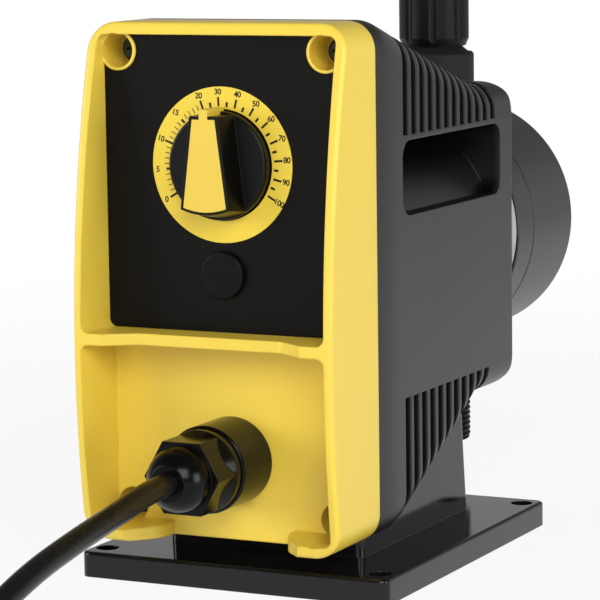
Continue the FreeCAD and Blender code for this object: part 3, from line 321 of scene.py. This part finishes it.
plug_rubber = moulded("plug_rubber", (0.018, 0.018, 0.019), roughness=0.42,
                      grain_mm=0.5, grain_depth=0.012, edge_mm=0.8)
wear_on(["power_plug"], plug_rubber)
blade_brass = machined("blade_brass", (0.76, 0.57, 0.27), roughness=0.28, lines=(1, 0.1, 1))
wear_on(["plug_blades"], blade_brass)
at(*GLAND_EXIT)


# The studio: a white floor and a white surround that the right and the back faces mirror, dark
# in front and above so that black plastic stays black. A large soft lamp stands high at the
# front right, a long low one in front, and one at each side.
FLOOR_SIZE = 8.0
FLOOR_DROP = 0.0002
NEAR_WHITE = 0.9
MIRROR_FADE = 0.6
floor_mesh = bpy.data.meshes.new("floor")
sheet = bmesh.new()
bmesh.ops.create_grid(sheet, x_segments=1, y_segments=1, size=FLOOR_SIZE)
sheet.to_mesh(floor_mesh)
sheet.free()
floor = bpy.data.objects.new("floor", floor_mesh)
floor.location = (0, 0, -FLOOR_DROP)
scene.collection.objects.link(floor)

# To the eye and in mirrors the floor is plain white, a little darker close to the pump and weaker
# far off in a mirror. To all other light it is white paper.
floor_white, place = finish("floor_white", Roughness=0.9, Specular_IOR_Level=0.1)
paper = place.noise(2.0, 2.0)
join(floor_white, Base_Color=tint(paper, (0.86, 0.86, 0.86), (0.88, 0.88, 0.88)))
looked_at = place.node("LightPath", out="Is Camera Ray")
through_glass = place.node("LightPath", out="Is Transmission Ray")
mirrored = place.node("LightPath", out="Is Glossy Ray").math("MAXIMUM", through_glass)
distance = place.node("VectorMath", {0: place}, out=1, operation="LENGTH")
seen_white = looked_at * (NEAR_WHITE + (1 - NEAR_WHITE) * distance.ramp(0.2, 0.9))
mirrored_white = mirrored * (1 - MIRROR_FADE * distance.ramp(0.3, 2.0))
surface = floor_white.node_tree
lit = Wire(surface, surface.nodes["Principled BSDF"].outputs[0])
shown = place.node("MixShader", {0: seen_white.math("MAXIMUM", mirrored_white), 1: lit,
                                 2: place.node("Emission")})
surface.links.new(shown.socket, surface.nodes["Material Output"].inputs[0])
floor_mesh.materials.append(floor_white)

WALL_DIM = 0.12
WALL_BRIGHT = 0.72
CEILING_FADE = 0.9
world = bpy.data.worlds.new("studio")
scene.world = world
world.use_nodes = True
air = world.node_tree
wall = air.nodes["Background"]
wall.inputs["Color"].default_value = (1, 1, 1, 1)
way = Wire(air, air.nodes.new("ShaderNodeTexCoord").outputs["Generated"])
seen = way.node("LightPath", out="Is Camera Ray")
behind = way.axis(1).ramp(-0.3, 0.6)
overhead = way.axis(2).ramp(0.06, 0.45)
wall_light = WALL_DIM + behind * (1 - CEILING_FADE * overhead) * (WALL_BRIGHT - WALL_DIM)
air.links.new((seen + (1 - seen) * wall_light).socket, wall.inputs["Strength"])


def soft_lamp(name, place, aim_height, size, watts):
    """A rectangular lamp in metres, aimed at a height on the pump's upright axis."""
    light = bpy.data.lights.new(name, "AREA")
    light.shape = "RECTANGLE"
    light.size, light.size_y = size
    light.energy = watts
    lamp = bpy.data.objects.new(name, light)
    lamp.location = place
    beam = Vector((0, 0, aim_height)) - Vector(place)
    lamp.rotation_euler = beam.to_track_quat("-Z", "Y").to_euler()
    scene.collection.objects.link(lamp)


soft_lamp("key_lamp", (0.8, -1.2, 0.8), aim_height=0.1, size=(0.9, 0.8), watts=15.4)
soft_lamp("low_lamp", (0.1, -1.3, 0.14), aim_height=0.06, size=(1.2, 0.2), watts=2.4)
soft_lamp("left_lamp", (-1.2, -0.85, 0.4), aim_height=0.1, size=(0.6, 0.6), watts=10.0)
soft_lamp("side_lamp", (1.4, -0.2, 0.25), aim_height=0.1, size=(0.6, 0.6), watts=7.5)


# The stand: one glossy black moulding, a plate with four screw holes and a pedestal whose top
# follows the housing's slope. It is screwed to the housing from below.
stand_gloss = moulded("stand_gloss", (0.006, 0.0058, 0.0062), roughness=0.1,
                      grain_mm=1.6, grain_depth=0.004, edge_mm=0.5, dust=0.12,
                      Specular_IOR_Level=0.3)
wear_on(["base_stand"], stand_gloss)


# The screws: blackened steel ones hold the stand and the cover, and bright plated ones hold the
# head, the drive and the control board.
blackened_steel = machined("blackened_steel", (0.05, 0.048, 0.046), roughness=0.4)
wear_on(["stand_screws", "cover_screws"], blackened_steel)
screw_steel = machined("screw_steel", (0.55, 0.55, 0.54), roughness=0.3)
wear_on(["head_screws", "drive_screws", "board_screws"], screw_steel)


# The housing: a charcoal moulding with a fine spark-eroded grain, cooling fins above and below
# and a finger recess in each side. Painted shade makes it darker over the fins, in the recesses
# and on the plain band behind the joint.
FLANK_LOW = 64.5
FLANK_HIGH = 154.7
BAND_FRONT = 3.0
BAND_REAR = 20.6
FINS_FRONT = 21.0
GRIP_WALL = 47.2
GRIP_LOW = 127.0
GRIP_HIGH = 153.5
GRIP_REAR = 109.6
FIN_PAINTED_SHADE = 0.7


def depth(back):
    """The place from front to rear, in metres, that many millimetres behind the cover's joint."""
    return (PARTING_Y + back) * MM


housing_satin, place = finish("housing_satin", Specular_IOR_Level=0.38)
across = place.axis(0).math("ABSOLUTE")
rearward = place.axis(1)
height = place.axis(2)
flank = height.band(FLANK_LOW * MM, FLANK_HIGH * MM, 0.5 * MM)
fins = (1 - flank) * rearward.ramp(depth(FINS_FRONT - 0.5), depth(FINS_FRONT + 0.5))
recess = 1 - across.ramp((GRIP_WALL - 1.0) * MM, (GRIP_WALL + 1.0) * MM)
grip = (recess * height.band(GRIP_LOW * MM, GRIP_HIGH * MM, 1.0 * MM)
        * rearward.band(depth(BAND_REAR), depth(GRIP_REAR), 1.0 * MM))
joint_band = 1 - rearward.ramp(depth(BAND_FRONT), depth(BAND_REAR))
flow = place.noise(38, 2.0)
spark_grain = place.noise(0.45, 2.0, 0.6)
rubbed = place.noise(5.0, 4.0, 0.7).ramp(0.56, 0.8)
# Painted shade: full in the finger recesses, at a share over the fins and the band behind the joint.
painted_shade = grip.math("MAXIMUM", fins.math("MAXIMUM", joint_band) * FIN_PAINTED_SHADE)
charcoal = tint(flow, (0.015, 0.0139, 0.015), (0.017, 0.0157, 0.017))
join(housing_satin,
     Base_Color=tint(painted_shade, charcoal, (0.002, 0.002, 0.002)),
     Roughness=(0.36 + joint_band * 0.12 + (flow - 0.5) * 0.06 + (spark_grain - 0.5) * 0.1
                + rubbed * 0.03),
     Normal=relief(place, spark_grain, 0.02, 0.7 + 0.6 * fins))
wear_on(["housing"], housing_satin)


# The gasket: a square cord of black rubber in the joint, squeezed by the cover's screws. The
# gland's seal and the bumper on the armature are of the same rubber.
soft_rubber = moulded("soft_rubber", (0.02, 0.02, 0.02), roughness=0.7,
                      grain_mm=0.3, grain_depth=0.01)
wear_on(["cover_gasket", "gland_seal", "armature_bumper"], soft_rubber)


# The front cover: one satin-gloss yellow moulding with a raised rim, a panel recess, a shelf
# and a lower recess for the gland. Four screws in its corners hold it to the housing.
cover_yellow = moulded("cover_yellow", (0.83, 0.61, 0.07), roughness=0.36,
                       grain_mm=0.7, grain_depth=0.008, edge_mm=1.0, cloud=0.015,
                       Specular_IOR_Level=0.5)
wear_on(["front_cover"], cover_yellow)


# The panel's sheet: near-black film with a fine matt texture, stuck to the floor of the cover's
# upper recess.
panel_film = moulded("panel_film", (0.0036, 0.0032, 0.0028), roughness=0.36,
                     grain_mm=0.25, grain_depth=0.006, edge_mm=0.15, Specular_IOR_Level=0.11)
wear_on(["panel_label"], panel_film)


# The dial's scale: a yellow printed ring. Black marks run clockwise from 0 to 100, with single
# divisions up to 20, and the numbers stand upright outside them.
DIAL_Z = 147.3
PRINT_BACK = -18.3
PRINT_THICK = 0.04
# Each kind of mark has an inner radius, an outer radius and a width.
LONG_MARK = (19.9, 23.0, 0.75)
SHORT_MARK = (19.7, 21.4, 0.8)
FINE_MARK = (19.9, 21.9, 0.28)
scale_yellow = moulded("scale_yellow", (0.82, 0.6, 0.045), roughness=0.42,
                       grain_mm=0.25, grain_depth=0.003, edge_mm=0.1, cloud=0.01)
wear_on(["dial_scale"], scale_yellow)
scale_ink = moulded("scale_ink", (0.01, 0.009, 0.008), roughness=0.5,
                    grain_mm=0.2, grain_depth=0.002, edge_mm=0.0, Specular_IOR_Level=0.2)


def dial_angle(rate):
    """Where a rate stands on the dial, in degrees clockwise from the top."""
    return -120 + 5 * rate if rate <= 20 else -20 + 1.75 * (rate - 20)


def add_mesh(name, build):
    """A new piece whose faces the build function makes."""
    mesh = bpy.data.meshes.new(name)
    shape = bmesh.new()
    build(shape)
    bmesh.ops.recalc_face_normals(shape, faces=shape.faces)
    shape.to_mesh(mesh)
    shape.free()
    piece = bpy.data.objects.new(name, mesh)
    scene.collection.objects.link(piece)
    return piece


def skin(shape, rings):
    """Faces between each ring of points and the next."""
    for near, far in zip(rings, rings[1:]):
        for k in range(len(near)):
            after = (k + 1) % len(near)
            shape.faces.new([near[k], near[after], far[after], far[k]])


def print_marks(shape):
    """The scale's marks, each a thin raised bar of ink."""
    bars = [(rate, *LONG_MARK) for rate in range(0, 101, 10)]
    bars += [(rate, *SHORT_MARK) for rate in range(5, 100, 10)]
    bars += [(rate, *FINE_MARK) for rate in range(1, 20) if rate % 5]
    for rate, inner, outer, wide in bars:
        angle = math.radians(dial_angle(rate))
        out = Vector((math.sin(angle), 0, math.cos(angle)))
        side = Vector((out.z, 0, -out.x)) * wide / 2
        corners = [out * inner - side, out * outer - side, out * outer + side, out * inner + side]
        rings = [[shape.verts.new(at(c.x, back, DIAL_Z + c.z)) for c in corners]
                 for back in (PRINT_BACK, PRINT_BACK - PRINT_THICK)]
        skin(shape, rings)
        for ring in rings:
            shape.faces.new(ring)


marks = add_mesh("scale_marks", print_marks)
marks.data.materials.append(scale_ink)
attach(marks, "pump")
NUMBER_TALL = 2.0
SIZE_FOR_TALL = 1.38
STROKE_WIDER = 0.07
NUMBER_RING = 24.7
number_lean = {10: 18, 15: 18, 70: 8, 90: 8, 100: 25}
for rate in (0, 5, 10, 15, 20, 30, 40, 50, 60, 70, 80, 90, 100):
    angle = math.radians(dial_angle(rate))
    words = bpy.data.curves.new("number_%d" % rate, "FONT")
    words.body = str(rate)
    words.size = NUMBER_TALL * SIZE_FOR_TALL * MM
    words.align_x = "CENTER"
    words.align_y = "CENTER"
    words.space_character = 0.95
    words.offset = STROKE_WIDER * MM
    words.extrude = PRINT_THICK / 2 * MM
    words.materials.append(scale_ink)
    number = bpy.data.objects.new("number_%d" % rate, words)
    number.location = at(NUMBER_RING * math.sin(angle), PRINT_BACK - PRINT_THICK / 2,
                         DIAL_Z + NUMBER_RING * math.cos(angle))
    number.rotation_euler = (math.pi / 2, math.radians(number_lean.get(rate, 0)), 0)
    scene.collection.objects.link(number)
    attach(number, "pump")


# The rate knob: a black skirt and bar with a yellow inlay that carries the pointer, pressed on
# the shaft of its control, which a nut holds to the panel.
knob_black = moulded("knob_black", (0.003, 0.0028, 0.0026), roughness=0.3,
                     grain_mm=0.5, grain_depth=0.006, Specular_IOR_Level=0.18)
wear_on(["knob_body"], knob_black)
inlay_yellow = moulded("inlay_yellow", (0.75, 0.53, 0.06), roughness=0.4,
                       grain_mm=0.6, grain_depth=0.006, edge_mm=0.3, cloud=0.015)
wear_on(["knob_insert"], inlay_yellow)
shaft_brass = machined("shaft_brass", (0.74, 0.58, 0.3), roughness=0.3, lines=(1, 0.15, 1))
wear_on(["potentiometer_shaft", "shaft_bushing"], shaft_brass)
plain_steel = machined("plain_steel", (0.46, 0.46, 0.46), roughness=0.34, lines=(1, 0.2, 1))
wear_on(["potentiometer", "potentiometer_nut", "armature_shaft", "diaphragm_insert"], plain_steel)


# The blanking plug: a round plug of dull black plastic, pushed into the panel's spare hole below
# the knob.
plug_black = moulded("plug_black", (0.0042, 0.0038, 0.0034), roughness=0.42,
                     grain_mm=0.5, grain_depth=0.006, edge_mm=0.3, Specular_IOR_Level=0.1)
wear_on(["blanking_plug"], plug_black)


# The control board: a green lacquered board in the closed housing, with the parts that stand on
# it and the mains and coil leads.
board_green = moulded("board_green", (0.015, 0.11, 0.05), roughness=0.35,
                      grain_mm=0.6, grain_depth=0.004, edge_mm=0.1)
wear_on(["control_board"], board_green)
part_blue = moulded("part_blue", (0.04, 0.09, 0.2), roughness=0.35,
                    grain_mm=0.8, grain_depth=0.004, edge_mm=0.3)
wear_on(["board_parts", "mains_leads", "drive_leads"], part_blue)


# The cable gland: glossy black nylon, a body against the cover's wall, a domed nut that grips
# the cord, and a locknut behind the wall.
gland_gloss = moulded("gland_gloss", (0.002, 0.002, 0.002), roughness=0.2,
                      grain_mm=1.2, grain_depth=0.006, edge_mm=0.5, Specular_IOR_Level=0.16)
wear_on(["gland_body", "gland_nut", "gland_locknut"], gland_gloss)


# The drive: a turned steel can and end plate, painted dull black outside, around a wound coil,
# its pole piece and the armature.
WINDING_PITCH = 0.7
drive_black = moulded("drive_black", (0.02, 0.02, 0.021), roughness=0.5,
                      grain_mm=0.6, grain_depth=0.01, edge_mm=0.4)
wear_on(["drive_can", "end_plate"], drive_black)
core_steel = machined("core_steel", (0.4, 0.4, 0.41), roughness=0.36, lines=(1, 0.15, 1))
wear_on(["pole_piece", "armature"], core_steel)
wound_copper, place = finish("wound_copper", Metallic=0.9)
turns = (place.axis(1) * (2 * math.pi / (WINDING_PITCH * MM))).math("SINE")
# Painted shade and highlight: the copper is darker in the grooves between the turns and lighter on
# their crests.
join(wound_copper,
     Base_Color=tint(turns.ramp(-1, 1), (0.3, 0.09, 0.03), (0.66, 0.27, 0.12)),
     Roughness=0.35 + turns * 0.08,
     Normal=relief(place, turns, 0.12))
wear_on(["coil_winding"], wound_copper)


# The return spring: hard steel wire wound with closed ends, in the pockets of the armature and
# the pole piece.
SPRING_TURNS = 7.5
CLOSED_TURNS = 1.0
WIRE_R = 0.9 * MM
CLOSED_PITCH = 2.1 * WIRE_R
WIRE_SIDES = 10
STEPS_A_COIL = 28
spring_low, spring_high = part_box("return_spring")
spring_mid = (spring_low + spring_high) / 2
spring_long = spring_high.y - spring_low.y


def spring_rise(turns_done):
    """How far along its axis the wire has come: close-wound at the ends, open between them."""
    closed_rise = CLOSED_TURNS * CLOSED_PITCH
    open_rise = spring_long - 2 * WIRE_R - 2 * closed_rise
    open_turns = SPRING_TURNS - 2 * CLOSED_TURNS
    turns_left = SPRING_TURNS - turns_done
    if turns_done < CLOSED_TURNS:
        return closed_rise * turns_done / CLOSED_TURNS
    if turns_left < CLOSED_TURNS:
        return closed_rise + open_rise + closed_rise * (1 - turns_left / CLOSED_TURNS)
    return closed_rise + open_rise * (turns_done - CLOSED_TURNS) / open_turns


def wind_spring(shape):
    """The wire as one skin over small rings, with a cap on each end."""
    coil_r = (spring_high.x - spring_low.x) / 2 - WIRE_R
    rings = []
    for step in range(round(SPRING_TURNS * STEPS_A_COIL) + 1):
        turns_done = step / STEPS_A_COIL
        angle = 2 * math.pi * turns_done
        out = Vector((math.cos(angle), 0, math.sin(angle)))
        y = spring_low.y + WIRE_R + spring_rise(turns_done)
        middle = Vector((spring_mid.x, y, spring_mid.z)) + out * coil_r
        ring = []
        for k in range(WIRE_SIDES):
            angle = 2 * math.pi * k / WIRE_SIDES
            sideways = Vector((0, WIRE_R * math.sin(angle), 0))
            ring.append(shape.verts.new(middle + out * WIRE_R * math.cos(angle) + sideways))
        rings.append(ring)
    skin(shape, rings)
    shape.faces.new(rings[0])
    shape.faces.new(rings[-1])


spring = add_mesh("wound_spring", wind_spring)
spring.data.materials.append(plain_steel)
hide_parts("return_spring")
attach(spring, "pump")
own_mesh(spring)


# The diaphragm: a thin moulded membrane with its rim clamped between the ring and the head. Its
# middle stands forward against the insert at rest.
DRUM_Z = 109.8
MEMBRANE_THICK = 0.6 * MM
MIDDLE_R = 14.0 * MM
CLAMPED_R = 25.0 * MM
BEND_STEPS = 12
STEPS_AROUND = 96
natural_nylon = moulded("natural_nylon", (0.74, 0.72, 0.64), roughness=0.45,
                        grain_mm=0.8, grain_depth=0.006, edge_mm=0.3)
membrane_low, membrane_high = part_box("diaphragm")
rim_front = membrane_high.y - MEMBRANE_THICK


def mould_membrane(shape):
    """The front from the middle to the rim and the rear back again, turned on the drum's axis."""
    outer_r = (membrane_high.x - membrane_low.x) / 2
    front = [(0.0, membrane_low.y)]
    for step in range(BEND_STEPS + 1):
        share = step / BEND_STEPS
        bend = (1 - math.cos(math.pi * share)) / 2
        front.append((MIDDLE_R + (CLAMPED_R - MIDDLE_R) * share,
                      membrane_low.y + (rim_front - membrane_low.y) * bend))
    front.append((outer_r, rim_front))
    rear = [(r, y + MEMBRANE_THICK) for r, y in reversed(front)]
    rings = []
    for r, y in front + rear:
        ring = []
        for k in range(STEPS_AROUND):
            angle = 2 * math.pi * k / STEPS_AROUND
            ring.append(shape.verts.new((r * math.sin(angle), y, DRUM_Z * MM + r * math.cos(angle))))
        rings.append(ring)
    skin(shape, rings)
    bmesh.ops.remove_doubles(shape, verts=shape.verts, dist=0.000001)


membrane = add_mesh("membrane", mould_membrane)
membrane.data.materials.append(natural_nylon)
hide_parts("diaphragm")
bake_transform(membrane)


# The valves: a ceramic ball on a seat in each tower, caught by a cage. The seats, the cages, the
# lower valve's retainer, the tube's ferrule and the coil's bobbin are moulded in natural nylon.
ball_ceramic = moulded("ball_ceramic", (0.85, 0.84, 0.8), roughness=0.12,
                       grain_mm=2.0, grain_depth=0.001, edge_mm=0.0)
wear_on(["discharge_ball", "suction_ball"], ball_ceramic)
wear_on(["discharge_seat", "discharge_cage", "suction_retainer", "suction_seat", "suction_cage",
         "tube_ferrule", "coil_bobbin"], natural_nylon)


# The liquid end: a drum turned from dark grey plastic, in two parts, with valve towers of black
# plastic above and below it. Fine tool rings run around the drum's side and face. Its ring's face
# towards the housing is painted near-white, a painted reflection standing in for a bright plated
# face.
DRUM_R = 45.8
REFLECTION_BACK = 135.1
REFLECTION_R = 44.7
TOOL_PITCH = 0.35
drum_grey, place = finish("drum_grey", Specular_IOR_Level=0.42)
along = place.axis(1)
aside = place.axis(0)
above = place.axis(2) - DRUM_Z * MM
from_axis = (aside * aside + above * above).math("SQRT")
tower = from_axis.ramp((DRUM_R + 0.2) * MM, (DRUM_R + 0.5) * MM)
# Painted reflection: the ring's front face inside this radius is painted near-white.
painted_reflection = ((1 - along.ramp(depth(REFLECTION_BACK - 0.1), depth(REFLECTION_BACK)))
          * (1 - from_axis.ramp((REFLECTION_R - 0.1) * MM, (REFLECTION_R + 0.1) * MM)))
wobble = place.noise(16, 2.0)
tool_rings = (along * (2 * math.pi / (TOOL_PITCH * MM)) + wobble * 2.0).math("SINE")
grain = place.noise(0.5)
turned = tint(wobble, (0.021, 0.0196, 0.02), (0.025, 0.0235, 0.024))
dressed = tint(tower, turned, (0.002, 0.0018, 0.0018))
join(drum_grey,
     Base_Color=tint(painted_reflection, dressed, (0.82, 0.82, 0.81)),
     Roughness=0.38 + tower * 0.32 + tool_rings * 0.03 + (grain - 0.5) * 0.12,
     Normal=relief(place, tool_rings * 0.3 + grain, 0.008, 0.4))
wear_on(["spacer_ring", "pump_head"], drum_grey)


# The coupling nut: a black plastic nut on the upper tower, which clamps the tube and its ferrule.
# The lower port is of the same plastic.
valve_black = moulded("valve_black", (0.004, 0.0036, 0.0036), roughness=0.44,
                      grain_mm=0.6, grain_depth=0.01, edge_mm=0.4, Specular_IOR_Level=0.14)
wear_on(["coupling_nut"], valve_black)


# The suction port: a stub with a coarse pipe thread under the lower tower, moulded in black
# plastic. Its thread shows behind the stand.
PORT_LOW = 23.5
PORT_HIGH = 44.0
PORT_BACK = 161.0
PORT_BORE = 9.05
THREAD_CREST = 13.2
THREAD_DEEP = 1.0
THREAD_PITCH = 2.0
THREAD_RUNOUT = 1.5
FLANK_STEEP = 2.6
END_CHAMFER = 0.8
PORT_STEPS = 72
LEVELS_A_PITCH = 10


def thread_radius(z, share):
    """The thread's radius at a height, a share of the way round: root, flanks and crest."""
    turn_share = ((z - PORT_LOW) / THREAD_PITCH - share) % 1.0
    rise = min(abs(turn_share - 0.5) * FLANK_STEEP, 1.0)
    runout = min((PORT_HIGH - z) / THREAD_RUNOUT, 1.0)
    rim = THREAD_CREST - max(0.0, END_CHAMFER - (z - PORT_LOW))
    return min(rim, THREAD_CREST - THREAD_DEEP * (1 - rise) * runout)


def port_ring(shape, z, radii):
    """A ring of points around the port's axis, one for each of the radii."""
    ring = []
    for k, radius in enumerate(radii):
        angle = 2 * math.pi * k / PORT_STEPS
        ring.append(shape.verts.new(at(radius * math.cos(angle),
                                       PORT_BACK + radius * math.sin(angle), z)))
    return ring


def cut_thread(shape):
    """The thread from below to the top, then down again inside the bore to where it began."""
    levels = round((PORT_HIGH - PORT_LOW) / THREAD_PITCH * LEVELS_A_PITCH)
    rings = []
    for step in range(levels + 1):
        z = PORT_LOW + (PORT_HIGH - PORT_LOW) * step / levels
        radii = [thread_radius(z, k / PORT_STEPS) for k in range(PORT_STEPS)]
        rings.append(port_ring(shape, z, radii))
    for z in (PORT_HIGH, PORT_LOW):
        rings.append(port_ring(shape, z, [PORT_BORE] * PORT_STEPS))
    skin(shape, rings + rings[:1])


thread = add_mesh("suction_thread", cut_thread)
thread.data.materials.append(valve_black)
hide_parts("suction_port")
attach(thread, "pump")
